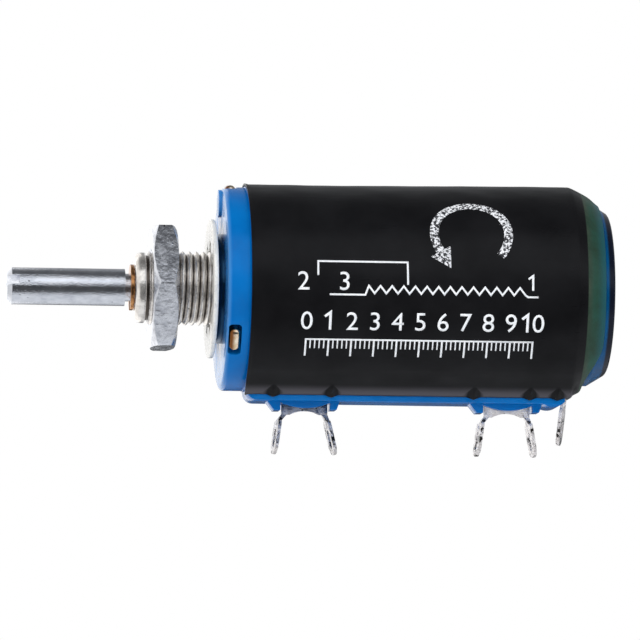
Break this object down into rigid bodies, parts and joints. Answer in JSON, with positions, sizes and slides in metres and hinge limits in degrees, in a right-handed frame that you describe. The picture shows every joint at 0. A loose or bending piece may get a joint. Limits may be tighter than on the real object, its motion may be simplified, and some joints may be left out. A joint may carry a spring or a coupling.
{
  "type": "rotary potentiometer",
  "caption": "Ten-turn wirewound rotary potentiometer: blue moulded body with a black film sleeve, threaded panel bushing with nut and washer, slotted round shaft, solder terminals along a rail.",
  "frame": {"origin": "on the shaft's axis, at the front face of the body, where the bushing's shoulder stands", "axes": "+X along the axis from the shaft's tip to the rear cap, the shaft points to -X; -Z to the solder terminals"},
  "size_m": [0.065, 0.0226, 0.0292],
  "materials": {
    "blue_moulding": "glossy moulded thermoset, mid blue",
    "blue_cap": "glossy moulded thermoset, deeper blue",
    "black_film": "satin black heat-shrunk film with white print and a green tail",
    "nickel_thread": "bright nickel plate on a cut thread",
    "nickel_nut": "bright nickel plate, slightly tumbled",
    "nickel_washer": "bright nickel plate on stamped steel",
    "nickel_shaft": "polished nickel plate with fine turning lines",
    "brass_plate": "plain stamped brass",
    "bronze_clip": "orange phosphor bronze",
    "steel_pin": "ground steel",
    "ivory_moulding": "matt moulded thermoset",
    "white_moulding": "matt moulded acetal",
    "gold_contact": "gold-flashed contact metal",
    "resistance_wire": "fine oxidised resistance wire, close wound",
    "tinned_tag": "dip-tinned brass with dark specks"
  },
  "bodies": {
    "body": {"front_cap": "blue_moulding", "housing": "blue_moulding", "rear_cap": "blue_cap", "film_sleeve": "black_film", "bushing": "nickel_thread", "ear_plate": "brass_plate", "lock_washer": "nickel_washer", "thrust_washer": "bronze_clip", "rear_bearing": "brass_plate", "resistance_element": "resistance_wire", "terminal_3": "tinned_tag", "terminal_1": "tinned_tag", "terminal_2": "tinned_tag", "slip_ring_brush": "gold_contact", "brush_rivet": "brass_plate", "front_stop_pin": "steel_pin"},
    "shaft_and_rotor": {"shaft": "nickel_shaft", "retaining_clip": "bronze_clip", "drive_pin": "steel_pin", "rotor": "ivory_moulding", "slip_ring": "gold_contact", "collector_rod": "gold_contact"},
    "carriage": {"wiper_carriage": "white_moulding", "wiper_contact": "gold_contact", "rod_spring": "gold_contact"},
    "nut": {"mounting_nut": "nickel_nut"}
  },
  "joints": [
    {"name": "shaft_turn", "type": "hinge", "parent": "body", "child": "shaft_and_rotor", "pos_m": [0, 0, 0], "axis": [1, 0, 0], "range_deg": [0, 3600]},
    {"name": "carriage_slide", "type": "slide", "parent": "shaft_and_rotor", "child": "carriage", "axis": [1, 0, 0], "range_m": [0, 0.0221]},
    {"name": "nut_run", "type": "slide", "parent": "body", "child": "nut", "axis": [1, 0, 0], "range_m": [-0.0017, 0.0035]}
  ],
  "couplings": [
    {"joint": "carriage_slide", "follows": "shaft_turn", "m_per_rad": 0.00035014}
  ]
}
